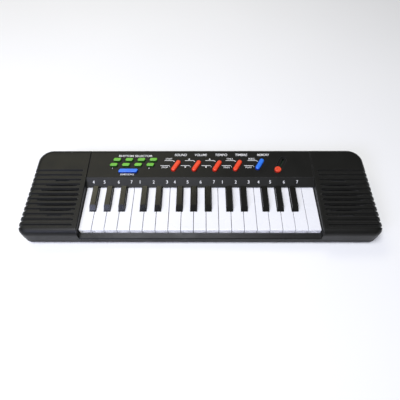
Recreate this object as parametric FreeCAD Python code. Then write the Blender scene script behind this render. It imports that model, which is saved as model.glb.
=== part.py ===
import FreeCAD, Part
import math
import os

os.makedirs("parts", exist_ok=True)
V = FreeCAD.Vector

# Axes: +X to the player's right, +Y to the rear, +Z up. The origin is under the middle of the casing,
# on the surface that the feet stand on. All sizes are in millimetres.

# Overall casing
overall_length = 460.0
overall_depth = 132.0
front_top_height = 28.7
rear_top_height = 35.0
end_taper = 2.5
front_corner_radius = 13.0
rear_corner_radius = 20.0
top_edge_radius = 8.0
cavity_edge_radius = 4.0
parting_line_height = 0.9
parting_line_depth = 1.0
parting_height = 11.0
foot_height = 1.5
foot_radius = 6.0
foot_recess = 0.6
foot_gap = 0.1
foot_edge_radius = 0.5
floor_wall = 2.0
lower_inset = 0.4
lower_side_wall = 2.4
lower_edge_radius = 3.0
end_side_wall = 3.8
end_top_wall = 3.4
panel_wall = 2.2
rear_wall = 2.4
inner_end_wall = 2.5

# Keys
white_count = 19
first_white_note = 3
white_pitch = 16.16
key_gap = 0.7
white_top = 22.5
rail_depth = 7.8
white_skirt_bottom = 14.2
key_wall = 1.6
key_top_wall = 2.0
key_edge_radius = 0.4
key_nose_radius = 1.4
key_lip = 3.2
key_lip_groove = 1.3
key_lip_groove_depth = 0.7
key_tab_length = 6.5
key_tab_height = 1.2
key_tab_rise = 0.35
black_width = 8.0
black_side_gap = 0.6
black_front_y = -30.2
black_break_y = -24.0
black_rise = 6.0
black_nose_rise = 1.0
black_chamfer = 0.8
black_front_gap = 0.8
black_offsets = {0: -1.4, 1: 1.6, 3: -2.6, 4: 0.0, 5: 2.9}

# Key hinge
pivot_y = 19.0
pivot_z = 17.0
pivot_rod_radius = 1.5
running_gap = 0.05
pivot_boss_radius = 3.2
pivot_boss_width = 5.0
key_tail_y = 15.0
pivot_rib = 1.4
white_press_deg = 2.9
black_press_deg = 3.6

# Key bed in the upper casing
bed_side_gap = 0.8
bed_front_gap = 0.7
strip_front_y = 6.5
strip_front_z = 25.0
strip_under_z = 23.2
strip_rear_y = 17.0
strip_step = 0.5
strip_wall = 2.3
rail_rear_z = 15.8
rail_nose_z = 13.4
rail_front_z = 12.4
rail_nose = 1.2
rail_lip = 1.5
rail_lip_bottom = 12.2
rail_wall = 1.8

# Ribbed ends
groove_count = 12
groove_rear_margin = 38.5
groove_front_margin = 11.0
groove_mouth = 4.8
groove_floor = 2.2
groove_depth = 1.9
groove_inner_margin = 8.4
slot_width = 2.0
speaker_circle_radius = 28.0
speaker_wall_margin = 29.53
seam_width = 1.8
seam_depth = 1.1

# Panel controls: the panel's own axes, w = 0 on its face
control_lean_deg = 26.0
button_length = 10.6
button_width = 5.2
button_round = 1.9
button_rise = 2.7
button_gap = 0.4
button_press = 1.0
flange_margin = 1.2
flange_thick = 1.0
flange_gap = 0.1
button_pitch = 16.8
button_row_gap = 3.4
front_button_y = 36.8
front_button_x = -118.8
rear_button_x = -115.0
buttons_in_row = 4
demo_x = -98.0
demo_row_gap = 4.4
demo_length = 26.0
demo_width = 6.0
rocker_lean_deg = 29.0
rocker_length = 20.0
rocker_width = 6.8
rocker_gap = 0.6
rocker_rise = 2.8
rocker_top_radius = 2.2
rocker_centers = [(-33.2, 35.6), (-4.9, 35.4), (23.6, 35.2), (51.7, 35.8), (82.4, 38.0)]
rocker_pivot_w = -4.0
trunnion_radius = 1.0
rocker_body_bottom_w = -5.2
rocker_foot_offset = 6.6
rocker_press_deg = 4.0
lug_thick = 1.4
lug_length = 4.4
slider_start = (106.2, 28.7)
slider_lean_deg = 27.4
slider_travel = 20.6
slider_knob_radius = 4.5
slider_gap = 0.4
slider_rise = 3.0
slider_recess = 1.8
slider_tray_wall = 1.5
slider_stem = 2.0
slider_stem_length = 3.2

# Boards and rubber
board_thick = 1.6
board_top_w = -7.5
board_front_y = 21.0
board_rear_margin = 9.0
board_half_length = 128.0
rubber_thick = 0.8
contact_gap = 0.1
dome_foot_radius = 3.0
dome_top_radius = 1.9
dome_wall = 0.7
key_board_bottom = 6.4
key_board_front_y = -29.0
key_board_rear_y = 3.0
white_dome_y = -20.0
black_dome_y = -8.0
key_dome_top = 12.5
plunger_size = 3.0

# Speakers
speaker_radius = 28.4
speaker_flange = 1.6
speaker_cone_depth = 8.0
speaker_magnet_radius = 14.0
speaker_magnet_depth = 7.0

# Batteries
cell_length = 50.5
cell_radius = 7.25
cell_gap = 0.5
cell_nub = 1.2
bay_half_length = 55.0
bay_depth = 41.5
bay_wall = 1.5
door_gap = 0.4
door_half_length = 51.6
door_flange_half = 54.0
door_flange = 1.2
door_travel = 41.0

# Fasteners
screw_shank_radius = 1.25
screw_head_radius = 2.75
screw_head_height = 2.0
screw_head_top_z = 9.0
screw_tip_z = 21.0
well_radius = 4.4
well_top_z = 14.0
boss_radius = 3.6
pilot_gap = 0.05
screw_end_margin = 22.0
screw_wall_margin = 8.53
screw_edge_margin = 16.0
screw_front_margin = 14.0
foot_end_margin = 25.0
foot_rear_margin = 28.0
foot_front_margin = 18.0
middle_foot_x = 70.0
middle_foot_margin = 12.0

# Derived sizes
half_length = overall_length / 2
front_y = -overall_depth / 2
rear_y = overall_depth / 2
panel_rise = rear_top_height - front_top_height
panel_deg = math.degrees(math.atan2(panel_rise, overall_depth))
panel_middle_z = (front_top_height + rear_top_height) / 2
key_half_field = white_count * white_pitch / 2 - key_gap / 2
bed_half = key_half_field + bed_side_gap
inner_end_x = bed_half + inner_end_wall
straight_y = front_y + front_corner_radius
floor_top = foot_height + floor_wall
arm_x = math.cos(math.radians(panel_deg))
white_front_y = front_y + rail_depth
groove_first_y = rear_y - groove_rear_margin
groove_last_y = front_y + groove_front_margin
groove_pitch = (groove_first_y - groove_last_y) / (groove_count - 1)
speaker_x = inner_end_x + speaker_wall_margin
speaker_y = (groove_first_y + groove_last_y) / 2
board_rear_y = rear_y - board_rear_margin
bay_front_y = rear_y - bay_depth
rear_button_y = front_button_y + button_width + button_row_gap
front_button_row = [(front_button_x + n * button_pitch, front_button_y) for n in range(buttons_in_row)]
rear_button_row = [(rear_button_x + n * button_pitch, rear_button_y) for n in range(buttons_in_row)]
demo_center = (demo_x, front_button_y - button_width / 2 - demo_row_gap - demo_width / 2)
screw_spots = [(half_length - screw_end_margin, rear_y - screw_edge_margin),
               (half_length - screw_end_margin, front_y + screw_edge_margin),
               (inner_end_x + screw_wall_margin, rear_y - screw_edge_margin),
               (inner_end_x + screw_wall_margin, front_y + screw_front_margin)]
foot_spots = [(half_length - foot_end_margin, rear_y - foot_rear_margin),
              (half_length - foot_end_margin, front_y + foot_front_margin),
              (middle_foot_x, front_y + middle_foot_margin)]
board_post_x = board_half_length - 4.0
board_post_spots = [(-board_post_x, board_front_y + 4.0), (-board_post_x, board_rear_y - 4.0),
                    (-50.0, board_front_y + 3.5), (-46.0, board_rear_y - 3.0),
                    (67.0, board_front_y + 3.5), (64.0, board_rear_y - 3.0),
                    (board_post_x, board_front_y + 4.0), (board_post_x, board_rear_y - 4.0)]
key_post_y = -13.0
key_post_spread = 140.0 / 153.17
key_post_count = 6
key_board_posts = [(key_half_field * key_post_spread * (2 * n / (key_post_count - 1) - 1), key_post_y)
                   for n in range(key_post_count)]


def top_z(y):
    """Height of the casing's sloping top face at y."""
    return panel_middle_z + y * panel_rise / overall_depth


def side_x(y):
    """Half length of the casing at y: the ends close in towards the rear."""
    return half_length - end_taper * (y - straight_y) / overall_depth


def box(x0, x1, y0, y1, z0, z1):
    return Part.makeBox(x1 - x0, y1 - y0, z1 - z0, V(x0, y0, z0))


def cylinder(radius, x, y, z0, z1):
    return Part.makeCylinder(radius, z1 - z0, V(x, y, z0))


def yz_prism(points, x0, x1):
    corners = [V(x0, y, z) for y, z in points]
    return Part.Face(Part.makePolygon(corners + corners[:1])).extrude(V(x1 - x0, 0, 0))


def xz_prism(points, y0, y1):
    corners = [V(x, y0, z) for x, z in points]
    return Part.Face(Part.makePolygon(corners + corners[:1])).extrude(V(0, y1 - y0, 0))


def xy_prism(points, z0, z1):
    corners = [V(x, y, z0) for x, y in points]
    return Part.Face(Part.makePolygon(corners + corners[:1])).extrude(V(0, 0, z1 - z0))


def fuse(shapes):
    return shapes[0].multiFuse(shapes[1:]).removeSplitter()


def upright_edges(shape):
    """Straight edges that run along Z."""
    found = []
    for edge in shape.Edges:
        ends = [v.Point for v in edge.Vertexes]
        if len(ends) == 2 and abs(ends[0].x - ends[1].x) < 1e-6 and abs(ends[0].y - ends[1].y) < 1e-6:
            found.append(edge)
    return found


def edges_at(shape, height):
    """Edges that lie wholly at one height."""
    return [e for e in shape.Edges if all(abs(v.Point.z - height) < 1e-6 for v in e.Vertexes)
            and abs(e.BoundBox.ZLength) < 1e-5]


def to_panel(shape):
    """Moves a shape drawn with w = 0 on the panel's face to its place in the casing."""
    placed = shape.copy()
    placed.rotate(V(0, 0, 0), V(1, 0, 0), panel_deg)
    placed.translate(V(0, 0, panel_middle_z))
    return placed


def casing_blank(inset, z0, z1):
    """The casing's plan outline, inset all round, as an upright block."""
    y0 = front_y + inset
    y1 = rear_y - inset
    plan = [(-side_x(y0) + inset, y0), (side_x(y0) - inset, y0),
            (side_x(y1) - inset, y1), (-side_x(y1) + inset, y1)]
    block = xy_prism(plan, z0, z1)
    front = [e for e in upright_edges(block) if e.CenterOfMass.y < 0]
    block = block.makeFillet(front_corner_radius - inset, front)
    rear = [e for e in upright_edges(block) if abs(e.CenterOfMass.y - y1) < 1e-6]
    return block.makeFillet(rear_corner_radius - inset, rear)


def above_panel(depth):
    """Everything higher than a plane the given depth under the panel's face."""
    return to_panel(box(-300, 300, -120, 120, -depth, 80))


def slanted_points(center, length, width, lean_deg):
    """A parallelogram, long along X, whose short sides lean to the right."""
    shift = math.tan(math.radians(lean_deg)) * width / 2
    cx, cy = center
    half = length / 2
    return [(cx - half - shift, cy - width / 2), (cx + half - shift, cy - width / 2),
            (cx + half + shift, cy + width / 2), (cx - half + shift, cy + width / 2)]


def slanted_block(center, length, width, lean_deg, radius, w0, w1):
    block = xy_prism(slanted_points(center, length, width, lean_deg), w0, w1)
    return block.makeFillet(radius, upright_edges(block))


def capsule(center, length, width, w0, w1, lean_deg):
    """A round-ended block whose long axis leans from +Y towards +X."""
    radius = width / 2
    reach = length / 2 - radius
    parts = [box(-radius, radius, -reach, reach, w0, w1)]
    parts.append(cylinder(radius, 0, -reach, w0, w1))
    parts.append(cylinder(radius, 0, reach, w0, w1))
    block = fuse(parts)
    block.rotate(V(0, 0, 0), V(0, 0, 1), -lean_deg)
    block.translate(V(center[0], center[1], 0))
    return block


def export(name, shape):
    shape.exportStep("parts/" + name + ".step")


# ------------------------------------------------------------------ upper casing

def groove_profile():
    """Height and half width of a groove's cutter above the casing's face and at the groove's floor."""
    extra = 1.0
    flare = (groove_mouth - groove_floor) / 2 / groove_depth * extra
    return [(extra, groove_mouth / 2 + flare), (-groove_depth, groove_floor / 2)]


def end_groove(row):
    """One groove on the right-hand end: along the top, round the edge and down the side."""
    y = groove_first_y - row * groove_pitch
    x_in = bed_half + groove_inner_margin
    x_edge = side_x(y) - top_edge_radius
    z_face = top_z(y)
    z_edge = z_face - top_edge_radius
    (high, wide), (low, narrow) = groove_profile()
    top_points = [(y - narrow, z_face + low), (y + narrow, z_face + low),
                  (y + wide, z_face + high), (y - wide, z_face + high)]
    along_top = yz_prism(top_points, x_in, x_edge)
    inner_end = Part.makeCone(narrow, wide, high - low, V(x_in, y, z_face + low))
    corner_points = [V(x_edge, y - narrow, z_face + low), V(x_edge, y + narrow, z_face + low),
                     V(x_edge, y + wide, z_face + high), V(x_edge, y - wide, z_face + high)]
    corner_face = Part.Face(Part.makePolygon(corner_points + corner_points[:1]))
    corner = corner_face.revolve(V(x_edge, y, z_edge), V(0, 1, 0), 90)
    side = side_x(y)
    side_points = [(side + low, y - narrow), (side + low, y + narrow),
                   (side + high, y + wide), (side + high, y - wide)]
    down_side = xy_prism(side_points, parting_height - 1, z_edge)
    return fuse([along_top, inner_end, corner, down_side])


def speaker_rows():
    """The grooves that pass over the speaker circle."""
    rows = []
    for row in range(groove_count):
        y = groove_first_y - row * groove_pitch
        if abs(y - speaker_y) < speaker_circle_radius - slot_width / 2:
            rows.append(row)
    return rows


def speaker_slot(row):
    """The long opening in the floor of one groove, a chord of the speaker circle."""
    y = groove_first_y - row * groove_pitch
    half = math.sqrt(speaker_circle_radius ** 2 - (y - speaker_y) ** 2) - slot_width / 2
    z_face = top_z(y)
    z0 = z_face - end_top_wall - 2
    slot = box(speaker_x - half, speaker_x + half, y - slot_width / 2, y + slot_width / 2, z0, z_face)
    ends = [cylinder(slot_width / 2, speaker_x + side * half, y, z0, z_face) for side in (-1, 1)]
    return fuse([slot] + ends)


def seam_groove():
    """The V groove between the panel and the right-hand end: along the top and down the back."""
    half = seam_width / 2
    x = bed_half
    z_local = 1.0
    wide = half * (seam_depth + z_local) / seam_depth
    along = to_panel(xz_prism([(x, -seam_depth), (x + wide, z_local), (x - wide, z_local)], -90, 90))
    y_wall = rear_y
    back = xy_prism([(x, y_wall - seam_depth), (x + wide, y_wall + z_local),
                     (x - wide, y_wall + z_local)], parting_height - 1, rear_top_height)
    middle = V(x, rear_y - top_edge_radius, top_z(rear_y) - top_edge_radius)
    reach = top_edge_radius
    fan = Part.Face(Part.makePolygon([V(x, middle.y, middle.z + reach - seam_depth),
                                      V(x + wide, middle.y, middle.z + reach + z_local),
                                      V(x - wide, middle.y, middle.z + reach + z_local),
                                      V(x, middle.y, middle.z + reach - seam_depth)]))
    corner = fan.revolve(middle, V(1, 0, 0), -90)
    return [along, back, corner]


def mirrored(shape):
    return shape.mirror(V(0, 0, 0), V(1, 0, 0))


def control_openings():
    """Holes through the panel for every control."""
    holes = []
    through = (-panel_wall - 3, 2)
    for center in rear_button_row + front_button_row:
        holes.append(slanted_block(center, button_length + 2 * button_gap, button_width + 2 * button_gap,
                                   control_lean_deg, button_round + button_gap, *through))
    holes.append(slanted_block(demo_center, demo_length + 2 * button_gap, demo_width + 2 * button_gap,
                               control_lean_deg, button_round + button_gap, *through))
    for center in rocker_centers:
        holes.append(capsule(center, rocker_length + 2 * rocker_gap, rocker_width + 2 * rocker_gap,
                             *through, rocker_lean_deg))
    return holes


def slider_axis():
    lean = math.radians(slider_lean_deg)
    return math.sin(lean), math.cos(lean)


def slider_middle():
    ax, ay = slider_axis()
    return slider_start[0] + ax * slider_travel / 2, slider_start[1] + ay * slider_travel / 2


def slider_tray():
    width = 2 * (slider_knob_radius + slider_gap + slider_tray_wall)
    return capsule(slider_middle(), slider_travel + width, width, -slider_recess - slider_tray_wall,
                   -panel_wall / 2, slider_lean_deg)


def slider_cuts():
    width = 2 * (slider_knob_radius + slider_gap)
    recess = capsule(slider_middle(), slider_travel + width, width, -slider_recess, 5, slider_lean_deg)
    slit_width = slider_stem + 2 * slider_gap
    slit = capsule(slider_middle(), slider_travel + slider_stem_length + slit_width, slit_width,
                   -10, 1, slider_lean_deg)
    return [recess, slit]


def rocker_lugs(center):
    """Two ears under the panel that carry one rocker's trunnions."""
    inner = rocker_width / 2 + rocker_gap + 0.2
    ears = []
    for side in (-1, 1):
        x0 = inner if side > 0 else -inner - lug_thick
        ear = box(x0, x0 + lug_thick, -lug_length / 2, lug_length / 2,
                  rocker_pivot_w - lug_length / 2 + 0.3, -panel_wall / 2)
        bore = Part.makeCylinder(trunnion_radius + running_gap, lug_thick + 2, V(x0 - 1, 0, rocker_pivot_w),
                                 V(1, 0, 0))
        ears.append(ear.cut(bore))
    turned = []
    for ear in ears:
        ear.rotate(V(0, 0, 0), V(0, 0, 1), -rocker_lean_deg)
        ear.translate(V(center[0], center[1], 0))
        turned.append(ear)
    return turned


def build_upper_casing():
    outer = casing_blank(0, parting_height, rear_top_height + 10)
    outer = outer.cut(above_panel(0))
    rim = [e for e in outer.Edges if all(abs(v.Point.z - top_z(v.Point.y)) < 1e-4 for v in e.Vertexes)]
    outer = outer.makeFillet(top_edge_radius, rim)

    cavity = casing_blank(end_side_wall, parting_height - 1, rear_top_height + 10)
    cavity = cavity.cut(above_panel(end_top_wall))
    ceiling_rim = [e for e in cavity.Edges if all(abs(v.Point.z - top_z(v.Point.y) + end_top_wall / arm_x) < 1e-3
                                                  for v in e.Vertexes)]
    cavity = cavity.makeFillet(cavity_edge_radius, ceiling_rim)
    middle_block = box(-inner_end_x, inner_end_x, -100, 100, 0, 60)
    shell = outer.cut(cavity.cut(middle_block))
    ends = shell.cut(box(-bed_half, bed_half, -100, 100, 0, 60))

    inner_rear = rear_y - rear_wall
    corner = 4.5
    strip_top_rear = top_z(strip_rear_y) - strip_step
    panel_profile = [
        (rear_y, parting_height), (rear_y, top_z(rear_y)), (strip_rear_y, top_z(strip_rear_y)),
        (strip_rear_y, strip_top_rear), (strip_front_y, strip_front_z), (strip_front_y, strip_under_z),
        (strip_rear_y, strip_top_rear - strip_wall),
        (strip_rear_y + 2, top_z(strip_rear_y + 2) - panel_wall),
        (inner_rear - corner, top_z(inner_rear - corner) - panel_wall),
        (inner_rear, top_z(inner_rear) - panel_wall - corner), (inner_rear, parting_height)]
    overlap = 0.5
    panel = yz_prism(panel_profile, -bed_half - overlap, bed_half + overlap).common(outer)
    rail_rear = white_front_y - bed_front_gap
    rail_profile = [
        (front_y, parting_height), (front_y, rail_front_z), (front_y + rail_nose, rail_nose_z),
        (rail_rear, rail_rear_z), (rail_rear, rail_lip_bottom), (rail_rear - rail_lip, rail_lip_bottom),
        (rail_rear - rail_lip, rail_rear_z - rail_wall - 0.6),
        (front_y + rear_wall, rail_nose_z - rail_wall + 0.3), (front_y + rear_wall, parting_height)]
    rail = yz_prism(rail_profile, -bed_half - overlap, bed_half + overlap)

    solids = [ends, panel, rail]
    under_top = outer.cut(above_panel(end_top_wall - 1))
    for side in (-1, 1):
        ring = cylinder(speaker_radius + 2.0, side * speaker_x, speaker_y, -8, 0)
        ring = ring.cut(cylinder(speaker_radius + 0.5, side * speaker_x, speaker_y, -9, 1))
        ring.translate(V(0, 0, -end_top_wall + 1))
        solids.append(to_panel(ring))
        for x, y in screw_spots:
            post = cylinder(boss_radius, side * x, y, well_top_z, rear_top_height)
            solids.append(post.common(under_top))
    for x, y in board_post_spots:
        solids.append(to_panel(cylinder(2.2, x, y, board_top_w, -panel_wall / 2)))
        solids.append(to_panel(cylinder(1.1, x, y, board_top_w - board_thick - 0.6, board_top_w)))
    for center in rocker_centers:
        solids.extend(to_panel(ear) for ear in rocker_lugs(center))
    solids.append(to_panel(slider_tray()))
    casing = fuse(solids)

    cuts = [to_panel(hole) for hole in control_openings() + slider_cuts()]
    for side in (-1, 1):
        for x, y in screw_spots:
            cuts.append(cylinder(screw_shank_radius + pilot_gap, side * x, y, well_top_z - 1, screw_tip_z + 1))
    passage = box(bed_half - 2, inner_end_x + 1, 28, 56, parting_height - 1, 22)
    right = [end_groove(row) for row in range(groove_count)]
    right += [speaker_slot(row) for row in speaker_rows()]
    right += seam_groove() + [passage]
    cuts += right + [mirrored(shape) for shape in right]
    return casing.cut(cuts)


# ------------------------------------------------------------------ lower casing and door

def door_profile(gap):
    """Section across the battery door: the plate in the floor and the flange that rides above it."""
    plate = door_half_length + gap
    flange = door_flange_half + gap
    top = floor_top + door_flange + 0.1 + gap
    return plate, flange, top


def door_block(gap, y0, y1, bottom):
    plate, flange, top = door_profile(gap)
    ledge = floor_top + 0.1 - gap / 4
    lower = box(-plate, plate, y0, y1, bottom, top)
    upper = box(-flange, flange, y0, y1, ledge, top)
    return fuse([lower, upper])


def lower_blank():
    block = casing_blank(lower_inset, foot_height, parting_height)
    return block.makeFillet(lower_edge_radius, edges_at(block, foot_height))


def white_key_x(index):
    return (index - (white_count - 1) / 2) * white_pitch


def pivot_rib_spots():
    """Both ends of the key field, and each place where two white keys meet with no black key."""
    outermost = key_half_field - pivot_rib / 2
    spots = [-outermost, outermost]
    for index in range(white_count - 1):
        if (first_white_note + index) % 7 not in black_offsets:
            spots.append(white_key_x(index) + white_pitch / 2)
    return spots


def build_lower_casing():
    shell = lower_blank()
    shell = shell.cut(casing_blank(lower_inset + lower_side_wall, floor_top, parting_height + 5))
    line_bottom = parting_height - parting_line_height
    line_ring = casing_blank(-1.0, line_bottom, parting_height + 1)
    line_ring = line_ring.cut(casing_blank(lower_inset + parting_line_depth, line_bottom - 1, parting_height + 2))
    shell = shell.cut(line_ring)
    bay_rear = rear_y - lower_inset - lower_side_wall - 3.2
    roof_under = floor_top + door_flange + 0.4 + 2 * cell_radius + cell_gap
    outer_box = box(-bay_half_length - bay_wall, bay_half_length + bay_wall, bay_front_y - bay_wall,
                    bay_rear + bay_wall, floor_top, roof_under + bay_wall)
    inner_box = box(-bay_half_length, bay_half_length, bay_front_y, bay_rear, 0, roof_under)
    bay = outer_box.cut(inner_box)
    solids = [shell, bay]
    for side in (-1, 1):
        for x, y in screw_spots:
            solids.append(cylinder(well_radius, side * x, y, foot_height, well_top_z))
    for x in pivot_rib_spots():
        half = pivot_rib / 2
        solids.append(box(x - half, x + half, pivot_y - 3.5, pivot_y + 3.0, floor_top - 0.5, pivot_z + 3.2))
    for x, y in key_board_posts:
        solids.append(cylinder(2.4, x, y, floor_top - 0.5, key_board_bottom))
        solids.append(cylinder(1.3, x, y, key_board_bottom, key_board_bottom + board_thick + 0.4))
    casing = fuse(solids)
    cuts = [door_block(door_gap, bay_front_y, rear_y + 5, -1)]
    bore_start = -key_half_field - 5
    bore_length = 2 * key_half_field + 10
    cuts.append(Part.makeCylinder(pivot_rod_radius + running_gap, bore_length, V(bore_start, pivot_y, pivot_z),
                                  V(1, 0, 0)))
    for side in (-1, 1):
        for x, y in foot_spots:
            cuts.append(cylinder(foot_radius + foot_gap, side * x, y, -1, foot_height + foot_recess))
        for x, y in screw_spots:
            cuts.append(cylinder(screw_head_radius + 0.4, side * x, y, -1, screw_head_top_z))
            cuts.append(cylinder(screw_shank_radius + 0.4, side * x, y, 0, well_top_z + 1))
        for y in cell_rows():
            cuts.append(box(side * bay_half_length - 3, side * bay_half_length + 3, y - 2.4, y + 2.4,
                            roof_under - 1, roof_under + bay_wall + 1).common(
                                box(-bay_half_length, bay_half_length, 0, 70, 0, 40)))
    return casing.cut(cuts)


def build_feet():
    """Rubber pads, each bedded in a shallow recess in the floor."""
    feet = []
    for side in (-1, 1):
        for x, y in foot_spots:
            foot = cylinder(foot_radius, side * x, y, 0, foot_height + foot_recess)
            feet.append(foot.makeFillet(foot_edge_radius, edges_at(foot, 0)))
    return Part.makeCompound(feet)


def build_battery_door():
    y0 = bay_front_y + door_gap
    door = door_block(0, y0, rear_y - lower_inset, foot_height)
    trim = casing_blank(lower_inset, foot_height, parting_height)
    trim = trim.makeFillet(lower_edge_radius, edges_at(trim, foot_height))
    door = door.common(trim)
    grips = []
    for n in range(7):
        x = (n - 3) * 4.0
        grips.append(box(x - 0.8, x + 0.8, rear_y - 20, rear_y - 9, 0, foot_height + 0.6))
    return door.cut(grips)


# ------------------------------------------------------------------ keys

def key_hinge(x):
    """The eye that a key turns on, with the arm that joins it to the key's tail."""
    half = pivot_boss_width / 2
    eye = Part.makeCylinder(pivot_boss_radius, pivot_boss_width, V(x - half, pivot_y, pivot_z), V(1, 0, 0))
    arm = box(x - half, x + half, key_tail_y - 1.5, pivot_y, pivot_z - pivot_boss_radius + 0.6,
              pivot_z + pivot_boss_radius - 0.2)
    return [eye, arm]


def key_bore(x):
    return Part.makeCylinder(pivot_rod_radius + running_gap, pivot_boss_width + 2,
                             V(x - pivot_boss_width / 2 - 1, pivot_y, pivot_z), V(1, 0, 0))


def plunger(x, y, top):
    half = plunger_size / 2
    return box(x - half, x + half, y - half, y + half, key_dome_top + contact_gap, top)


def black_after(index):
    """X of the black key that follows a white key, or None."""
    note = (first_white_note + index) % 7
    if index >= white_count - 1 or note not in black_offsets:
        return None
    return white_key_x(index) + white_pitch / 2 + black_offsets[note]


def rear_span(index):
    """Left and right limits of a white key where it passes between black keys."""
    x = white_key_x(index)
    half = (white_pitch - key_gap) / 2
    reach = black_width / 2 + black_side_gap
    left, right = x - half, x + half
    before = black_after(index - 1) if index > 0 else None
    after = black_after(index)
    if before is not None:
        left = before + reach
    if after is not None:
        right = after - reach
    return left, right


def build_white_key(index):
    x = white_key_x(index)
    half = (white_pitch - key_gap) / 2
    left, right = rear_span(index)
    notch_y = black_front_y - black_front_gap
    plan = [(x - half, white_front_y), (x + half, white_front_y), (x + half, notch_y)]
    if right < x + half - 0.01:
        plan.append((right, notch_y))
    plan += [(right, key_tail_y), (left, key_tail_y)]
    if left > x - half + 0.01:
        plan.append((left, notch_y))
    plan.append((x - half, notch_y))
    if left <= x - half + 0.01:
        plan = plan[:-1]
    if right >= x + half - 0.01:
        plan.remove((x + half, notch_y))
    body = xy_prism(plan, white_skirt_bottom, white_top)
    nose = [e for e in edges_at(body, white_top) if abs(e.CenterOfMass.y - white_front_y) < 1e-6]
    body = body.makeFillet(key_nose_radius, nose)
    sides = [e for e in edges_at(body, white_top) if e.CenterOfMass.y < key_tail_y - 0.1
             and abs(e.CenterOfMass.y - white_front_y - key_nose_radius) > 1e-4]
    body = body.makeFillet(key_edge_radius, sides)
    ceiling = white_top - key_top_wall
    front_room = box(x - half + key_wall, x + half - key_wall, white_front_y + key_wall,
                     notch_y - key_wall, 0, ceiling)
    rear_room = box(left + key_wall, right - key_wall, notch_y - key_wall - 1, key_tail_y - 3, 0, ceiling)
    body = body.cut([front_room, rear_room])
    groove_top = white_top - key_lip
    body = body.cut(box(x - half - 1, x + half + 1, white_front_y - 1, white_front_y + key_lip_groove_depth,
                        groove_top - key_lip_groove, groove_top))
    tab_top = groove_top - key_lip_groove - 0.4
    tab = box(x - key_tab_length / 2, x + key_tab_length / 2, white_front_y - key_tab_rise,
              white_front_y + key_wall / 2, tab_top - key_tab_height, tab_top)
    middle = (left + right) / 2
    foot = box(x - 3, x + 3, white_front_y - bed_front_gap - rail_lip, white_front_y + key_wall,
               rail_lip_bottom - 1.4, rail_lip_bottom - 0.2)
    foot_leg = box(x - 3, x + 3, white_front_y + 0.2, white_front_y + key_wall, rail_lip_bottom - 1.4,
                   white_skirt_bottom + 1)
    web = box(left + 0.8, right - 0.8, white_dome_y - 0.8, white_dome_y + 0.8, ceiling - 3, ceiling + 0.5)
    solids = [body, tab, foot, foot_leg, web, plunger(middle, white_dome_y, ceiling + 0.5)] + key_hinge(middle)
    return fuse(solids).cut(key_bore(middle))


def build_black_key(index):
    x = black_after(index)
    half = black_width / 2
    top = white_top + black_rise
    section = [(x - half, white_skirt_bottom), (x + half, white_skirt_bottom),
               (x + half, top - black_chamfer * 1.4), (x + half - black_chamfer, top),
               (x - half + black_chamfer, top), (x - half, top - black_chamfer * 1.4)]
    rear = strip_front_y - 0.8
    cap = xz_prism(section, black_front_y, rear)
    slope = yz_prism([(black_front_y - 1, white_top + black_nose_rise - 1),
                      (black_front_y, white_top + black_nose_rise), (black_break_y, top),
                      (black_break_y, top + 5), (black_front_y - 1, top + 5)], x - half - 1, x + half + 1)
    cap = cap.cut(slope)
    tail = box(x - half, x + half, rear - 1, key_tail_y, white_skirt_bottom, white_top - 0.2)
    ceiling = white_top - key_top_wall
    room = box(x - half + key_wall, x + half - key_wall, black_front_y + key_wall, key_tail_y - 3, 0, ceiling)
    upper_room = box(x - half + key_wall, x + half - key_wall, black_break_y + 1, rear - key_wall, 0,
                     top - key_top_wall)
    body = fuse([cap, tail]).cut([room, upper_room])
    web = box(x - half + 0.8, x + half - 0.8, black_dome_y - 0.8, black_dome_y + 0.8, ceiling - 3,
              top - key_top_wall + 0.5)
    solids = [body, web, plunger(x, black_dome_y, ceiling)] + key_hinge(x)
    return fuse(solids).cut(key_bore(x))


# ------------------------------------------------------------------ panel controls

def build_button(center, length, width):
    """A push button: cap, flange under the panel and two feet over its rubber domes."""
    flange_top = -panel_wall - flange_gap
    cap = slanted_block(center, length, width, control_lean_deg, button_round, flange_top - 0.5, button_rise)
    cap = cap.makeFillet(button_round * 0.5, edges_at(cap, button_rise))
    flange = slanted_block(center, length + 2 * flange_margin, width + 2 * flange_margin, control_lean_deg,
                           button_round, flange_top - flange_thick, flange_top)
    foot_bottom = button_dome_top_w() + contact_gap
    feet = [cylinder(1.6, x, y, foot_bottom, flange_top) for x, y in button_feet(center, length)]
    return to_panel(fuse([cap, flange] + feet))


def button_dome_top_w():
    return -panel_wall - flange_gap - flange_thick - button_press - contact_gap


def button_feet(center, length):
    """One foot in the middle of a short button, two under a long one."""
    if length < 20:
        return [center]
    return [(center[0] - length / 4, center[1]), (center[0] + length / 4, center[1])]


def along_rocker(center, distance):
    lean = math.radians(rocker_lean_deg)
    return center[0] + math.sin(lean) * distance, center[1] + math.cos(lean) * distance


def build_rocker(center):
    body = capsule((0, 0), rocker_length, rocker_width, rocker_body_bottom_w, rocker_rise, 0)
    body = body.makeFillet(rocker_top_radius, edges_at(body, rocker_rise))
    reach = rocker_width / 2 + rocker_gap + 0.2 + lug_thick
    pin = Part.makeCylinder(trunnion_radius, 2 * reach, V(-reach, 0, rocker_pivot_w), V(1, 0, 0))
    feet = [cylinder(1.5, 0, side * rocker_foot_offset, rocker_body_bottom_w - 0.3, rocker_body_bottom_w)
            for side in (-1, 1)]
    rocker = fuse([body, pin] + feet)
    rocker.rotate(V(0, 0, 0), V(0, 0, 1), -rocker_lean_deg)
    rocker.translate(V(center[0], center[1], 0))
    return to_panel(rocker)


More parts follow.
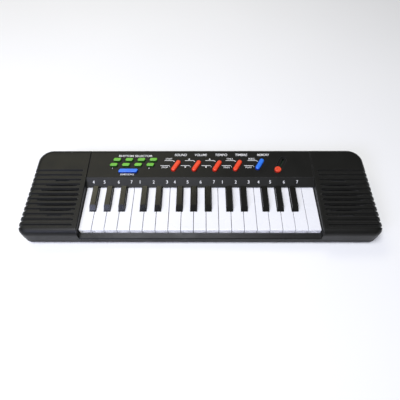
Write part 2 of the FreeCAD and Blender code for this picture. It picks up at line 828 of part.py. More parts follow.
def build_power_slider():
    knob = cylinder(slider_knob_radius, 0, 0, -slider_recess + 0.3, slider_rise)
    knob = knob.makeFillet(1.0, edges_at(knob, slider_rise))
    ridges = [box(-6, 6, y - 0.35, y + 0.35, slider_rise - 0.6, slider_rise + 1) for y in (-2.2, 0, 2.2)]
    knob = knob.cut(ridges)
    tray_under = -slider_recess - slider_tray_wall
    half = slider_stem / 2
    stem = box(-half, half, -slider_stem_length / 2, slider_stem_length / 2, board_top_w + 0.5, 0)
    keeper = box(-3.2, 3.2, -3.2, 3.2, tray_under - 0.3 - 1.0, tray_under - 0.3)
    slider = fuse([knob, stem, keeper])
    slider.rotate(V(0, 0, 0), V(0, 0, 1), -slider_lean_deg)
    slider.translate(V(slider_start[0], slider_start[1], 0))
    return to_panel(slider)


# ------------------------------------------------------------------ boards, rubber, speakers, power

def dome(x, y, foot, top):
    outer = Part.makeCone(dome_foot_radius, dome_top_radius, top - foot, V(x, y, foot))
    return outer


def dome_room(x, y, foot, top):
    return Part.makeCone(dome_foot_radius - dome_wall, dome_top_radius - dome_wall, top - dome_wall - foot,
                         V(x, y, foot))


def build_rubber(x_half, y0, y1, bottom, spots, holes):
    sheet = box(-x_half, x_half, y0, y1, bottom, bottom + rubber_thick)
    solids = [sheet] + [dome(x, y, bottom + rubber_thick / 2, top) for x, y, top in spots]
    rooms = [dome_room(x, y, bottom - 0.01, top) for x, y, top in spots]
    rooms += [cylinder(3.4, x, y, bottom - 1, bottom + 2) for x, y in holes]
    return fuse(solids).cut(rooms)


def key_dome_spots():
    spots = []
    for index in range(white_count):
        left, right = rear_span(index)
        spots.append(((left + right) / 2, white_dome_y, key_dome_top))
        if black_after(index) is not None:
            spots.append((black_after(index), black_dome_y, key_dome_top))
    return spots


def build_key_board():
    board = box(-key_half_field, key_half_field, key_board_front_y, key_board_rear_y,
                key_board_bottom, key_board_bottom + board_thick)
    return board.cut([cylinder(1.5, x, y, 0, 20) for x, y in key_board_posts])


def build_key_rubber():
    y0 = key_board_front_y + 3
    y1 = key_board_rear_y - 5
    return build_rubber(key_half_field - 0.6, y0, y1, key_board_bottom + board_thick, key_dome_spots(),
                        key_board_posts)


def control_dome_spots():
    spots = []
    for center in rear_button_row + front_button_row:
        spots += [(x, y, button_dome_top_w()) for x, y in button_feet(center, button_length)]
    spots += [(x, y, button_dome_top_w()) for x, y in button_feet(demo_center, demo_length)]
    for center in rocker_centers:
        for side in (-1, 1):
            x, y = along_rocker(center, side * rocker_foot_offset)
            spots.append((x, y, rocker_body_bottom_w - 0.3 - contact_gap))
    return spots


def build_control_board():
    bottom = board_top_w - board_thick
    board = box(-board_half_length, board_half_length, board_front_y, board_rear_y, bottom, board_top_w)
    board = board.cut([cylinder(1.4, x, y, bottom - 1, board_top_w + 1) for x, y in board_post_spots])
    chip = cylinder(6.5, 30, 40, bottom - 1.4, bottom)
    chip = chip.makeFillet(1.0, edges_at(chip, bottom - 1.4))
    parts = [board, chip, box(-90, -84, 30, 34, bottom - 2, bottom), box(95, 103, 30, 35, bottom - 2.2, bottom)]
    for x in (70, 80, 110):
        parts.append(cylinder(2.5, x, 48, bottom - 2.0, bottom))
    return to_panel(fuse(parts))


def build_control_rubber():
    x1 = max(x for x, y in rocker_centers) + 11
    sheet = box(-board_half_length + 1, x1, board_front_y + 0.5, board_rear_y - 2.5, board_top_w,
                board_top_w + rubber_thick)
    spots = control_dome_spots()
    solids = [sheet] + [dome(x, y, board_top_w + rubber_thick / 2, top) for x, y, top in spots]
    rooms = [cylinder(dome_foot_radius - 1.0, x, y, board_top_w - 0.01, board_top_w + rubber_thick / 2)
             for x, y, top in spots]
    rooms += [cylinder(2.8, x, y, board_top_w - 1, board_top_w + 2) for x, y in board_post_spots]
    return to_panel(fuse(solids).cut(rooms))


def build_speaker(side):
    top = -end_top_wall - 0.3
    flange = top - speaker_flange
    cone = flange - speaker_cone_depth
    magnet = cone - speaker_magnet_depth
    inner = speaker_radius - 3.0
    points = [(0, magnet), (speaker_magnet_radius, magnet), (speaker_magnet_radius, cone),
              (speaker_magnet_radius + 2, cone), (inner + 1, flange), (speaker_radius, flange),
              (speaker_radius, top), (inner, top), (inner - 2, flange + 0.2), (inner - 4, flange + 0.6),
              (6.0, cone + 1.6), (4.0, cone + 3.0), (0, cone + 3.6)]
    face = Part.Face(Part.makePolygon([V(r, 0, w) for r, w in points + points[:1]]))
    body = face.revolve(V(0, 0, 0), V(0, 0, 1), 360)
    body.translate(V(side * speaker_x, speaker_y, 0))
    tag = box(side * speaker_x - 4, side * speaker_x + 4, speaker_y + speaker_magnet_radius - 1,
              speaker_y + speaker_magnet_radius + 3, cone - 4, cone - 2)
    return to_panel(fuse([body, tag]))


def cell_rows():
    first = bay_front_y + cell_radius + cell_gap
    return [first, first + 2 * cell_radius + cell_gap]


def cell_z():
    return floor_top + door_flange + 0.4 + cell_radius


def cell_shape(x_flat, direction, y):
    can = Part.makeCylinder(cell_radius, cell_length - cell_nub, V(x_flat, y, cell_z()), V(direction, 0, 0))
    can = can.makeFillet(0.6, [e for e in can.Edges if abs(e.BoundBox.XLength) < 1e-5])
    nub = Part.makeCylinder(2.7, cell_nub, V(x_flat + direction * (cell_length - cell_nub), y, cell_z()),
                            V(direction, 0, 0))
    return fuse([can, nub])


def build_batteries():
    cells = []
    gap = 0.1
    for row, direction in zip(cell_rows(), (1, -1)):
        cells.append(cell_shape(-direction * (cell_length + gap), direction, row))
        cells.append(cell_shape(direction * gap, direction, row))
    return Part.makeCompound(cells)


def contact_spring(x_plate, x_cell, y):
    """A bulged stack of turns between a contact plate and a cell."""
    z = cell_z()
    reach = x_cell - x_plate
    points = [(0.0, 0.0), (4.4, 0.0)]
    turns = 4
    for n in range(turns):
        wide = 4.4 - n * 0.5
        points.append((wide, (n + 0.45) / turns))
        if n < turns - 1:
            points.append((wide - 1.0, (n + 0.75) / turns))
    points += [(2.4, 1.0), (0.0, 1.0)]
    corners = [V(x_plate + reach * along, y, z + radius) for radius, along in points]
    face = Part.Face(Part.makePolygon(corners + corners[:1]))
    return face.revolve(V(x_plate, y, z), V(1, 0, 0), 360)


def build_battery_contacts():
    plates = []
    thick = 0.5
    z = cell_z()
    cell_end = cell_length + 0.1
    for side in (-1, 1):
        face_x = side * (bay_half_length - thick)
        wall_x = side * bay_half_length
        x0, x1 = min(face_x, wall_x), max(face_x, wall_x)
        pieces = []
        for row, direction in zip(cell_rows(), (1, -1)):
            plate = box(x0, x1, row - 5.5, row + 5.5, z - 5.5, z + 5.5)
            extra = []
            if side == 1:
                extra.append(box(x0, x1, row - 2.0, row + 2.0, z, z + cell_radius + 4.0))
            if direction == -side:
                extra.append(Part.makeCylinder(3.0, abs(face_x) - cell_end - 0.2, V(face_x, row, z),
                                               V(-side, 0, 0)))
            else:
                extra.append(contact_spring(face_x, side * (cell_end + 0.05), row))
            pieces.append(fuse([plate] + extra))
        if side == -1:
            rows = cell_rows()
            link = box(x0, x1, rows[0], rows[1], z - 3, z + 3)
            plates.append(fuse(pieces + [link]))
        else:
            plates.extend(pieces)
    return Part.makeCompound(plates)


def build_screws():
    screws = []
    for side in (-1, 1):
        for x, y in screw_spots:
            head = cylinder(screw_head_radius, side * x, y, screw_head_top_z - screw_head_height,
                            screw_head_top_z)
            shank = cylinder(screw_shank_radius, side * x, y, screw_head_top_z, screw_tip_z)
            screw = fuse([head, shank])
            low = screw_head_top_z - screw_head_height
            cross = [box(side * x - 1.7, side * x + 1.7, y - 0.4, y + 0.4, low - 1, low + 1.2),
                     box(side * x - 0.4, side * x + 0.4, y - 1.7, y + 1.7, low - 1, low + 1.2)]
            screws.append(screw.cut(cross))
    return Part.makeCompound(screws)


def wire(points, radius):
    """A lead: straight runs with a ball at each bend."""
    pieces = []
    for start, end in zip(points, points[1:]):
        run = V(*end) - V(*start)
        pieces.append(Part.makeCylinder(radius, run.Length, V(*start), run))
    for bend in points[1:-1]:
        pieces.append(Part.makeSphere(radius, V(*bend)))
    return fuse(pieces)


def board_under_z(y):
    return top_z(y) + (board_top_w - board_thick) / arm_x


def build_leads():
    leads = []
    radius = 0.7
    for row in cell_rows():
        z = cell_z() + cell_radius + 3.0
        x = bay_half_length + 0.02
        leads.append(wire([(x, row, z), (x + 9, row, z), (x + 9, row, board_under_z(row) - 0.1)], radius))
    magnet_w = -end_top_wall - 0.3 - speaker_flange - speaker_cone_depth
    tag_w = magnet_w - 3.0
    tag_z = top_z(speaker_y) + tag_w
    tilt = math.radians(panel_deg)
    tag_end = (speaker_y + speaker_magnet_radius + 3.0) * math.cos(tilt) - tag_w * math.sin(tilt)
    tag_y = tag_end + 0.42663
    for side in (-1, 1):
        for offset in (-2.5, 2.5):
            start = (side * 120, 34 + offset, board_under_z(34 + offset) - 0.1)
            turn = (side * 120, 34 + offset, 17)
            wall = (side * (inner_end_x + 6), 34 + offset, 17)
            end = (side * (speaker_x + offset), tag_y, tag_z)
            leads.append(wire([start, turn, wall, end], radius))
    x = -100.0
    band = 0.8
    low = floor_top + 0.6
    board_z = key_board_bottom - 0.1
    y_start = key_board_rear_y - 4
    y_turn = bay_front_y + 3
    top = board_under_z(y_turn) - 0.3
    path = [(y_start, board_z), (y_start, low), (y_turn + band, low), (y_turn + band, top), (y_turn, top),
            (y_turn, low + band), (y_start + band, low + band), (y_start + band, board_z)]
    leads.append(yz_prism(path, x - 6, x + 6))
    return Part.makeCompound(leads)


def build_pivot_rod():
    reach = key_half_field + bed_side_gap / 2
    return Part.makeCylinder(pivot_rod_radius, 2 * reach, V(-reach, pivot_y, pivot_z), V(1, 0, 0))


export("upper_casing", build_upper_casing())
export("lower_casing", build_lower_casing())
export("battery_door", build_battery_door())
export("rubber_feet", build_feet())
black_number = 0
for number in range(white_count):
    export("white_key_%02d" % (number + 1), build_white_key(number))
    if black_after(number) is not None:
        black_number += 1
        export("black_key_%02d" % black_number, build_black_key(number))
for number, spot in enumerate(rear_button_row + front_button_row):
    export("rhythm_button_%d" % (number + 1), build_button(spot, button_length, button_width))
export("demo_button", build_button(demo_center, demo_length, demo_width))
for number, spot in enumerate(rocker_centers):
    export("rocker_button_%d" % (number + 1), build_rocker(spot))
export("power_slider", build_power_slider())
export("key_pivot_rod", build_pivot_rod())
export("key_contact_rubber", build_key_rubber())
export("circuit_boards", Part.makeCompound([build_key_board(), build_control_board()]))
export("control_contact_rubber", build_control_rubber())
export("speakers", Part.makeCompound([build_speaker(-1), build_speaker(1)]))
export("batteries", build_batteries())
export("battery_contacts", build_battery_contacts())
export("casing_screws", build_screws())
export("internal_leads", build_leads())
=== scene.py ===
import math
from collections import namedtuple

import bpy
from mathutils import Matrix, Vector


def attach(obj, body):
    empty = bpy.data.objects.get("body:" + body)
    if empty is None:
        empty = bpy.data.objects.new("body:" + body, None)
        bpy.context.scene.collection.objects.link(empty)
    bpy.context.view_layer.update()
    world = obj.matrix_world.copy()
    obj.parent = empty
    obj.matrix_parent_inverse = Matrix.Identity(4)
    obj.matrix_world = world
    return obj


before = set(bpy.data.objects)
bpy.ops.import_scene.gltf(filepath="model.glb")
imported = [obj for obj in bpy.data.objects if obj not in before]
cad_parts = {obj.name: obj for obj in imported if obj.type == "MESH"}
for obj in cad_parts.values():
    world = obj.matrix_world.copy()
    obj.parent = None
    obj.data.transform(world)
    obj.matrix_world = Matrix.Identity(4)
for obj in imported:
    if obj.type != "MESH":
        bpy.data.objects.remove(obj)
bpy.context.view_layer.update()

MM = 0.001

# ---------------------------------------------------------------- sizes shared with the CAD model
# Millimetres. The panel leans back a little, and the strip slopes from its front edge to its rear.
PANEL_MIDDLE_Z = 31.85
PANEL_RISE = 6.3
OVERALL_DEPTH = 132.0
STRIP_FRONT = (6.5, 25.0)
STRIP_REAR = (17.0, 32.16)
ROCKER_X = (-33.2, -4.9, 23.6, 51.7, 82.4)

PANEL_ANGLE = math.atan2(PANEL_RISE, OVERALL_DEPTH)
PANEL = (Matrix.Translation((0, 0, PANEL_MIDDLE_Z * MM))
         @ Matrix.Rotation(PANEL_ANGLE, 4, "X"))
STRIP_ANGLE = math.atan2(STRIP_REAR[1] - STRIP_FRONT[1], STRIP_REAR[0] - STRIP_FRONT[0])
STRIP = (Matrix.Translation((0, STRIP_FRONT[0] * MM, STRIP_FRONT[1] * MM))
         @ Matrix.Rotation(STRIP_ANGLE, 4, "X"))

# ---------------------------------------------------------------- materials
# Noise scales are per metre. Bump depths and edge radii are in metres.
DUST_SCALE = 900.0
WEAR_SCALE = 160.0
GLOSS_SCALE = 55.0
BROAD_GRAIN_SHARE = 0.22
BROAD_GRAIN_WEIGHT = 0.55
EDGE_SAMPLES = 4
STREAK_SCALE = 1400.0
STREAK_DEPTH = 0.00002
INK_COVER_SCALE = 1800.0
INK_GLOSS_SCALE = 500.0
INK_GRAIN_SCALE = 5000.0
INK_GRAIN_DEPTH = 0.00001


class Nodes:
    """Small helper for building one material's node tree."""

    def __init__(self, name):
        self.material = bpy.data.materials.new(name)
        self.material.use_nodes = True
        self.tree = self.material.node_tree
        self.tree.nodes.clear()
        self.out = self.add("ShaderNodeOutputMaterial")
        self.shader = self.add("ShaderNodeBsdfPrincipled")
        self.link(self.shader.outputs["BSDF"], self.out.inputs["Surface"])
        self.place = self.add("ShaderNodeTexCoord").outputs["Object"]

    def add(self, kind, **settings):
        node = self.tree.nodes.new(kind)
        for key, value in settings.items():
            setattr(node, key, value)
        return node

    def link(self, a, b):
        self.tree.links.new(a, b)

    def feed(self, socket, value):
        """Links the socket to another node's output, or sets it to a plain value."""
        if hasattr(value, "links"):
            self.link(value, socket)
        else:
            socket.default_value = value

    def noise(self, scale, detail=2.0, rough=0.5, stretch=None):
        node = self.add("ShaderNodeTexNoise")
        node.inputs["Scale"].default_value = scale
        node.inputs["Detail"].default_value = detail
        node.inputs["Roughness"].default_value = rough
        node.inputs["Distortion"].default_value = 0.0
        source = self.place
        if stretch:
            mapping = self.add("ShaderNodeMapping")
            mapping.inputs["Scale"].default_value = stretch
            self.link(source, mapping.inputs["Vector"])
            source = mapping.outputs["Vector"]
        self.link(source, node.inputs["Vector"])
        return node.outputs["Fac"]

    def spread(self, value, low, high, from_low=0.3, from_high=0.7):
        """Maps from_low..from_high onto low..high, and stops at both ends."""
        node = self.add("ShaderNodeMapRange")
        node.inputs["From Min"].default_value = from_low
        node.inputs["From Max"].default_value = from_high
        node.inputs["To Min"].default_value = low
        node.inputs["To Max"].default_value = high
        self.link(value, node.inputs["Value"])
        return node.outputs["Result"]

    def blend_colour(self, factor, a, b):
        """Colour a where factor is 0, and b where it is 1."""
        node = self.add("ShaderNodeMix", data_type="RGBA")
        self.link(factor, node.inputs["Factor"])
        for socket, colour in ((node.inputs[6], a), (node.inputs[7], b)):
            self.feed(socket, colour if hasattr(colour, "links") else (*colour, 1.0))
        return node.outputs[2]

    def math(self, operation, a, b):
        node = self.add("ShaderNodeMath", operation=operation)
        self.feed(node.inputs[0], a)
        self.feed(node.inputs[1], b)
        return node.outputs[0]

    def bump(self, layers, distance):
        """Adds up (height, weight) layers and bumps the surface by that many metres."""
        total = None
        for height, weight in layers:
            part = self.math("MULTIPLY", height, weight)
            total = part if total is None else self.math("ADD", total, part)
        node = self.add("ShaderNodeBump")
        node.inputs["Distance"].default_value = distance
        self.link(total, node.inputs["Height"])
        self.link(node.outputs["Normal"], self.shader.inputs["Normal"])

    def slope(self, steep, level):
        """0 on upright faces, 1 on faces that look up."""
        geometry = self.add("ShaderNodeNewGeometry")
        split = self.add("ShaderNodeSeparateXYZ")
        self.link(geometry.outputs["Normal"], split.inputs[0])
        return self.spread(split.outputs["Z"], 0.0, 1.0, steep, level)

    def edges(self, radius):
        """1 on worn edges, 0 on flat faces."""
        bevel = self.add("ShaderNodeBevel", samples=EDGE_SAMPLES)
        bevel.inputs["Radius"].default_value = radius
        geometry = self.add("ShaderNodeNewGeometry")
        dot = self.add("ShaderNodeVectorMath", operation="DOT_PRODUCT")
        self.link(bevel.outputs["Normal"], dot.inputs[0])
        self.link(geometry.outputs["Normal"], dot.inputs[1])
        return self.spread(dot.outputs["Value"], 1.0, 0.0, 0.80, 0.99)


def moulded(name, colour, tint, rough, grain_scale, grain_depth, edge=None,
            edge_radius=0.0005, specular=0.5, drift_scale=9.0, speckle=0.0, side=None):
    """Moulded plastic: drifting colour, uneven gloss, fine moulded grain and rubbed edges.

    The colour drifts between colour and tint. edge is the colour of rubbed edges, side a darker
    colour painted on upright faces as shade, and speckle the strength of fine pale dust.
    """
    n = Nodes(name)
    drift = n.spread(n.noise(drift_scale, 3.0, 0.55), 0.0, 1.0)
    base = n.blend_colour(drift, colour, tint)
    if speckle:
        dust = n.spread(n.noise(DUST_SCALE, 2.0, 0.7), 0.0, speckle, 0.62, 0.75)
        pale = tuple(min(1.0, c * 2.2 + 0.05) for c in colour)
        base = n.blend_colour(dust, base, pale)
    # Painted shade: upright faces take the darker side colour, as if turned away from the light.
    if side:
        base = n.blend_colour(n.slope(0.45, 0.85), side, base)
    if edge:
        wear = n.spread(n.noise(WEAR_SCALE, 3.0), 0.35, 0.9)
        worn = n.math("MULTIPLY", n.edges(edge_radius), wear)
        base = n.blend_colour(worn, base, edge)
    n.link(base, n.shader.inputs["Base Color"])
    patch = n.spread(n.noise(GLOSS_SCALE, 4.0, 0.6), rough * 0.88, rough * 1.14)
    n.link(patch, n.shader.inputs["Roughness"])
    n.shader.inputs["Specular IOR Level"].default_value = specular
    fine = n.noise(grain_scale, 3.0, 0.62)
    broad = n.noise(grain_scale * BROAD_GRAIN_SHARE, 2.0, 0.5)
    n.bump([(fine, 1.0), (broad, BROAD_GRAIN_WEIGHT)], grain_depth)
    return n.material


def metal(name, colour, rough, stretch=(1.0, 1.0, 1.0)):
    """Bare metal with fine streaks. stretch scales them along x, y and z."""
    n = Nodes(name)
    streak = n.noise(STREAK_SCALE, 3.0, 0.6, stretch=stretch)
    dark = tuple(c * 0.72 for c in colour)
    n.link(n.blend_colour(n.spread(streak, 0.0, 1.0), colour, dark),
           n.shader.inputs["Base Color"])
    n.link(n.spread(streak, rough * 0.7, rough * 1.4), n.shader.inputs["Roughness"])
    n.shader.inputs["Metallic"].default_value = 1.0
    n.bump([(streak, 1.0)], STREAK_DEPTH)
    return n.material


def ink(name, colour, rough=0.5):
    """Pad-printed ink: slightly uneven cover and a faint grain."""
    n = Nodes(name)
    cover = n.spread(n.noise(INK_COVER_SCALE, 2.0, 0.6), 0.0, 1.0, 0.25, 0.55)
    thin = tuple(c * 0.80 for c in colour)
    n.link(n.blend_colour(cover, thin, colour), n.shader.inputs["Base Color"])
    gloss = n.spread(n.noise(INK_GLOSS_SCALE), rough * 0.85, rough * 1.15)
    n.link(gloss, n.shader.inputs["Roughness"])
    n.bump([(n.noise(INK_GRAIN_SCALE), 1.0)], INK_GRAIN_DEPTH)
    return n.material


CASING = moulded("casing_grain", (0.0055, 0.0055, 0.0049), (0.0090, 0.0090, 0.0078),
                 rough=0.42, grain_scale=3600.0, grain_depth=0.00006,
                 edge=(0.085, 0.085, 0.083), edge_radius=0.0007,
                 specular=0.30, speckle=0.12)
LOWER = moulded("lower_casing_grain", (0.014, 0.014, 0.0135), (0.020, 0.020, 0.019),
                rough=0.55, grain_scale=3000.0, grain_depth=0.00007,
                edge=(0.05, 0.05, 0.049), edge_radius=0.0006,
                specular=0.30, speckle=0.12)
WHITE = moulded("white_key_gloss", (0.86, 0.865, 0.90), (0.90, 0.90, 0.93),
                rough=0.28, grain_scale=900.0, grain_depth=0.000012,
                edge=(0.93, 0.93, 0.95), drift_scale=30.0)
BLACK = moulded("black_key_gloss", (0.006, 0.006, 0.005), (0.009, 0.009, 0.007),
                rough=0.24, grain_scale=2200.0, grain_depth=0.00003,
                edge=(0.04, 0.04, 0.036), edge_radius=0.0006,
                specular=0.45, drift_scale=40.0)
# The side colours of the green, red and blue buttons are painted shade on their upright faces.
GREEN = moulded("green_button", (0.115, 0.42, 0.030), (0.17, 0.52, 0.05),
                rough=0.33, grain_scale=2400.0, grain_depth=0.000025,
                edge=(0.34, 0.66, 0.16), drift_scale=60.0, side=(0.030, 0.15, 0.008))
RED = moulded("red_button", (0.80, 0.055, 0.018), (0.86, 0.085, 0.028),
              rough=0.36, grain_scale=2400.0, grain_depth=0.000025,
              edge=(0.92, 0.22, 0.12), edge_radius=0.0006,
              drift_scale=60.0, side=(0.62, 0.028, 0.010))
BLUE = moulded("blue_button", (0.020, 0.16, 0.78), (0.035, 0.22, 0.86),
               rough=0.34, grain_scale=2400.0, grain_depth=0.000025,
               edge=(0.12, 0.40, 0.92), edge_radius=0.0006,
               drift_scale=60.0, side=(0.006, 0.045, 0.42))
RUBBER = moulded("contact_rubber_grain", (0.30, 0.30, 0.31), (0.36, 0.36, 0.36),
                 rough=0.80, grain_scale=2600.0, grain_depth=0.00004,
                 specular=0.25, drift_scale=50.0)
BOARD = moulded("board_mask", (0.010, 0.026, 0.012), (0.015, 0.034, 0.016),
                rough=0.50, grain_scale=1500.0, grain_depth=0.00003,
                edge=(0.10, 0.09, 0.05), edge_radius=0.0004, drift_scale=80.0)
FOOT = moulded("foot_rubber", (0.022, 0.022, 0.023), (0.035, 0.035, 0.035),
               rough=0.85, grain_scale=2000.0, grain_depth=0.00006,
               specular=0.2, drift_scale=80.0)
SPEAKER = moulded("speaker_paper", (0.018, 0.018, 0.019), (0.030, 0.030, 0.031),
                  rough=0.75, grain_scale=1800.0, grain_depth=0.00010,
                  specular=0.3, drift_scale=60.0)
CELL = moulded("battery_wrap", (0.16, 0.17, 0.20), (0.20, 0.21, 0.24),
               rough=0.32, grain_scale=1200.0, grain_depth=0.00002,
               edge=(0.5, 0.5, 0.52), drift_scale=40.0)
LEAD = moulded("lead_sleeve", (0.30, 0.02, 0.02), (0.38, 0.04, 0.03),
               rough=0.5, grain_scale=1500.0, grain_depth=0.00003, drift_scale=70.0)
STEEL = metal("drawn_steel", (0.62, 0.62, 0.63), rough=0.32, stretch=(0.05, 1.0, 1.0))
CONTACT = metal("plated_spring", (0.70, 0.69, 0.66), rough=0.28)
SCREW = metal("zinc_screw", (0.58, 0.58, 0.60), rough=0.38)
INK = ink("white_ink", (0.86, 0.86, 0.86))

NODE_MATERIALS = {
    "upper_casing": CASING, "lower_casing": LOWER, "battery_door": LOWER,
    "key_pivot_rod": STEEL, "circuit_boards": BOARD, "rubber_feet": FOOT,
    "key_contact_rubber": RUBBER, "control_contact_rubber": RUBBER,
    "speakers": SPEAKER, "batteries": CELL, "battery_contacts": CONTACT,
    "casing_screws": SCREW, "internal_leads": LEAD,
    "demo_button": BLUE, "rocker_button_5": BLUE, "power_slider": RED,
}
# Nodes with a number share their family's material, unless they are named above.
FAMILY_MATERIALS = (("white_key", WHITE), ("black_key", BLACK),
                    ("rhythm_button", GREEN), ("rocker_button", RED))

for node_name, node_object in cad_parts.items():
    family = next((m for start, m in FAMILY_MATERIALS if node_name.startswith(start)), None)
    for slot in node_object.material_slots:
        slot.material = NODE_MATERIALS.get(node_name, family)

# ---------------------------------------------------------------- printed marks
# Millimetres on the panel or the strip, but for LETTER_SWELL, which is a share of the
# font's size, and HEADING_LEAN, which is a slope. The words are generic ones.
INK_LOW, INK_HIGH = 0.02, 0.06
LETTER_SWELL = 0.012

DIGITS = "456712345671234567"
# Digit centres along the strip: read off the photograph one by one, and then
# turned into millimetres with the camera fit.
DIGIT_X = (-144.2, -129.4, -110.0, -92.6, -81.2, -62.7, -44.6, -34.2, -16.8, 0.9, 19.0,
           30.3, 48.4, 65.7, 79.1, 94.8, 113.4, 131.4)
DIGIT_ALONG = 6.6
DIGIT_HEIGHT = 4.3
DIGIT_WIDTH = 2.5

HEADINGS = ("SOUND", "VOLUME", "TEMPO", "TIMBRE", "MEMORY")
HEADING_SHIFT = 6.2
HEADING_Y = 54.6
HEADING_HEIGHT = 4.0
HEADING_WIDTH = 17.0
HEADING_LEAN = 0.15

# A line leads to each end of a rocker. span is its two ends from the rocker's middle, hook
# the corners of its bent end from the line's right end, and way is 1 above and -1 below.
LINE_THICK = 0.75
HALF_LINE = LINE_THICK / 2
Leader = namedtuple("Leader", "name way span y hook words word_width")
LEADERS = (
    Leader("upper", 1, (-16.2, -4.2), 44.8,
           ((-0.2, HALF_LINE), (-0.6, -HALF_LINE), (2.0, -2.0), (2.4, -1.4)),
           ("START", None, None, "TONE A", "REC"), 9.0),
    Leader("lower", -1, (-21.6, -9.2), 36.2,
           ((-0.5, HALF_LINE), (-0.2, -HALF_LINE), (0.8, -2.6), (1.4, -2.4)),
           ("STOP", None, None, "TONE B", "PLAY"), 8.6),
)
WORD_GAP = 2.9
WORD_HEIGHT = 2.6
ARROW_HALF_WIDTH = 1.5
ARROW_BASE = 1.5
ARROW_TIP = 4.0

# Name, words, x, y, height and width. With no width the letters keep their own.
PANEL_LABELS = (
    ("rhythm_heading", "RHYTHM SELECTOR", -90.3, 52.8, 3.4, 47.0),
    ("demo_label", "DEMO SONG", -99.2, 21.6, 2.8, 18.5),
    ("first_rhythm", "1", -120.4, 32.0, 1.9, None),
    ("last_rhythm", "8", -70.0, 32.0, 1.9, None),
)


def add_piece(name, meshes, material, body):
    """Joins the meshes into one visible piece that rides on a body."""
    piece = bpy.data.objects.new(name, join_meshes(name, meshes))
    bpy.context.scene.collection.objects.link(piece)
    piece.data.materials.clear()
    piece.data.materials.append(material)
    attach(piece, body)


def join_meshes(name, meshes):
    points, faces = [], []
    for mesh in meshes:
        start = len(points)
        points += [tuple(v.co) for v in mesh.vertices]
        faces += [tuple(start + i for i in p.vertices) for p in mesh.polygons]
        bpy.data.meshes.remove(mesh)
    joined = bpy.data.meshes.new(name)
    joined.from_pydata(points, [], faces)
    joined.update()
    return joined


def slab_mesh(name, points, faces, rim, matrix):
    """A slab of ink from a flat pattern: its faces, turned over below, and walls at its rim."""
    count = len(points)
    solid = [(x * MM, y * MM, z * MM) for z in (INK_HIGH, INK_LOW) for x, y in points]
    shell = list(faces) + [tuple(i + count for i in reversed(f)) for f in faces]
    shell += [(a + count, b + count, b, a) for a, b in rim]
    mesh = bpy.data.meshes.new(name)
    mesh.from_pydata(solid, [], shell)
    mesh.transform(matrix)
    mesh.update()
    return mesh


def flat_mark(name, outline):
    """A printed shape on the panel, with its corners counterclockwise."""
    ring = tuple(range(len(outline)))
    return slab_mesh(name, outline, [ring], list(zip(ring, ring[1:] + ring[:1])), PANEL)


def text_mesh(name, words, x, y, height, matrix, width=None, shear=0.0):
    """Printed letters centred at x, y on a plane."""
    curve = bpy.data.curves.new(name + "_curve", "FONT")
    curve.body = words
    curve.align_x = "CENTER"
    curve.align_y = "CENTER"
    curve.size = 1.0
    curve.shear = shear
    curve.offset = LETTER_SWELL
    holder = bpy.data.objects.new(name + "_holder", curve)
    bpy.context.scene.collection.objects.link(holder)
    graph = bpy.context.evaluated_depsgraph_get()
    flat = bpy.data.meshes.new_from_object(holder.evaluated_get(graph))
    bpy.data.objects.remove(holder)
    bpy.data.curves.remove(curve)
    xs = [v.co.x for v in flat.vertices]
    ys = [v.co.y for v in flat.vertices]
    scale_y = height / (max(ys) - min(ys))
    scale_x = scale_y if width is None else width / (max(xs) - min(xs))
    middle_x, middle_y = (max(xs) + min(xs)) / 2, (max(ys) + min(ys)) / 2
    points = [((v.co.x - middle_x) * scale_x + x, (v.co.y - middle_y) * scale_y + y)
              for v in flat.vertices]
    faces = [tuple(p.vertices) for p in flat.polygons]
    bpy.data.meshes.remove(flat)
    sides = {side: None for face in faces for side in zip(face, face[1:] + face[:1])}
    rim = [(a, b) for a, b in sides if (b, a) not in sides]
    return slab_mesh(name, points, faces, rim, matrix)


def leader_marks(leader, rocker, rocker_x):
    """The line to one end of a rocker, its bent end, and its word or arrow."""
    start, end = rocker_x + leader.span[0], rocker_x + leader.span[1]
    low, high = leader.y - HALF_LINE, leader.y + HALF_LINE
    middle = (start + end) / 2
    line = flat_mark("line", [(start, low), (end, low), (end, high), (start, high)])
    hook = flat_mark("hook", [(end + dx, leader.y + dy) for dx, dy in leader.hook])
    word = leader.words[rocker]
    if word:
        label = text_mesh(leader.name, word, middle, leader.y + leader.way * WORD_GAP,
                          WORD_HEIGHT, PANEL, width=leader.word_width)
    else:
        half = leader.way * ARROW_HALF_WIDTH
        base = leader.y + leader.way * ARROW_BASE
        tip = leader.y + leader.way * ARROW_TIP
        label = flat_mark("arrow", [(middle - half, base), (middle + half, base),
                                    (middle, tip)])
    return [line, hook, label]


digit_marks = [
    text_mesh("digit", digit, x, DIGIT_ALONG, DIGIT_HEIGHT, STRIP,
              width=None if digit == "1" else DIGIT_WIDTH)
    for digit, x in zip(DIGITS, DIGIT_X)]
add_piece("note_numbers", digit_marks, INK, "casing")

panel_marks = []
for rocker, rocker_x in enumerate(ROCKER_X):
    panel_marks.append(text_mesh("heading", HEADINGS[rocker], rocker_x + HEADING_SHIFT,
                                 HEADING_Y, HEADING_HEIGHT, PANEL, width=HEADING_WIDTH,
                                 shear=HEADING_LEAN))
    for leader in LEADERS:
        panel_marks += leader_marks(leader, rocker, rocker_x)
for label_name, words, x, y, height, width in PANEL_LABELS:
    panel_marks.append(text_mesh(label_name, words, x, y, height, PANEL, width=width))
add_piece("panel_print", panel_marks, INK, "casing")

# ---------------------------------------------------------------- room: floor, light, camera
# Metres and watts, but for the camera. The floor is a hair under the feet, so that they
# don't share a plane.
FLOOR_REACH = 3.0
FLOOR_Z = -0.0002
FLOOR_CORNERS = ((-1, -1), (1, -1), (1, 1), (-1, 1))
FLOOR_GLOW = 0.05
SKY_STRENGTH = 0.12

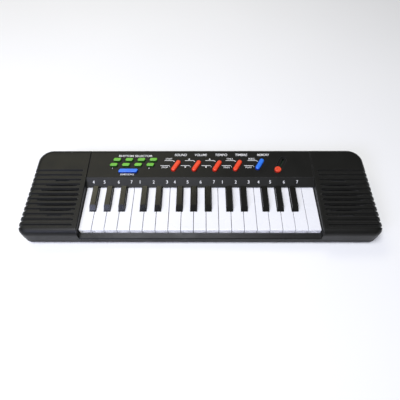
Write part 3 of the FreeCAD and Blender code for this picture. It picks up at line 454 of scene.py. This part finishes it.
floor_mesh = bpy.data.meshes.new("floor")
floor_mesh.from_pydata([(x * FLOOR_REACH, y * FLOOR_REACH, FLOOR_Z) for x, y in FLOOR_CORNERS],
                       [], [(0, 1, 2, 3)])
floor = bpy.data.objects.new("floor", floor_mesh)
bpy.context.scene.collection.objects.link(floor)
paper = Nodes("studio_paper")
paper_drift = paper.spread(paper.noise(3.0), 0.0, 1.0)
paper.link(paper.blend_colour(paper_drift, (0.90, 0.90, 0.90), (0.92, 0.92, 0.92)),
           paper.shader.inputs["Base Color"])
paper.shader.inputs["Roughness"].default_value = 0.85
paper.shader.inputs["Emission Color"].default_value = (1.0, 1.0, 1.0, 1.0)
paper.shader.inputs["Emission Strength"].default_value = FLOOR_GLOW
floor_mesh.materials.append(paper.material)


def area_light(name, place, target, size, power, colour):
    """A rectangular light at place that faces target."""
    lamp = bpy.data.lights.new(name, "AREA")
    lamp.shape = "RECTANGLE"
    lamp.size, lamp.size_y = size
    lamp.energy = power
    lamp.color = colour
    holder = bpy.data.objects.new(name, lamp)
    bpy.context.scene.collection.objects.link(holder)
    holder.location = place
    direction = Vector(target) - Vector(place)
    holder.rotation_mode = "QUATERNION"
    holder.rotation_quaternion = direction.to_track_quat("-Z", "Y")


area_light("overhead_soft_box", place=(-0.30, -0.30, 1.55), target=(0, 0, 0),
           size=(0.8, 0.5), power=22.0, colour=(0.93, 0.945, 1.0))
area_light("rear_left_soft_box", place=(-0.55, 0.88, 1.20), target=(-0.10, 0.03, 0),
           size=(1.20, 0.42), power=4.2, colour=(1.0, 0.95, 0.70))
area_light("front_left_soft_box", place=(-0.80, -0.95, 0.85), target=(-0.15, -0.05, 0),
           size=(0.7, 0.45), power=7.0, colour=(0.66, 0.70, 1.0))

world = bpy.data.worlds.new("studio")
world.use_nodes = True
sky = world.node_tree.nodes["Background"]
sky.inputs["Color"].default_value = (1.0, 1.0, 1.0, 1.0)
sky.inputs["Strength"].default_value = SKY_STRENGTH
bpy.context.scene.world = world
bpy.context.scene.view_settings.view_transform = "Standard"
bpy.context.scene.view_settings.look = "None"

# The camera stands in front of the keyboard and looks steeply down at it. Its place, lens
# and sensor are in millimetres, its angles in degrees, and its near limit in metres.
CAMERA_PLACE = (3.4, -260.2, 408.2)
PITCH, YAW, ROLL = (math.radians(a) for a in (57.35, -0.76, 0.64))
LENS = 31.0
SENSOR_WIDTH = 36.0
CLIP_START = 0.01

ahead = Vector((math.sin(YAW) * math.cos(PITCH), math.cos(YAW) * math.cos(PITCH),
                -math.sin(PITCH)))
level_right = Vector((math.cos(YAW), -math.sin(YAW), 0))
level_down = ahead.cross(level_right)
right = math.cos(ROLL) * level_right + math.sin(ROLL) * level_down
down = math.cos(ROLL) * level_down - math.sin(ROLL) * level_right
camera_data = bpy.data.cameras.new("camera")
camera_data.lens = LENS
camera_data.sensor_width = SENSOR_WIDTH
camera_data.clip_start = CLIP_START
camera = bpy.data.objects.new("camera", camera_data)
bpy.context.scene.collection.objects.link(camera)
camera.matrix_world = Matrix((
    (right.x, -down.x, -ahead.x, CAMERA_PLACE[0] * MM),
    (right.y, -down.y, -ahead.y, CAMERA_PLACE[1] * MM),
    (right.z, -down.z, -ahead.z, CAMERA_PLACE[2] * MM),
    (0, 0, 0, 1)))
bpy.context.scene.camera = camera
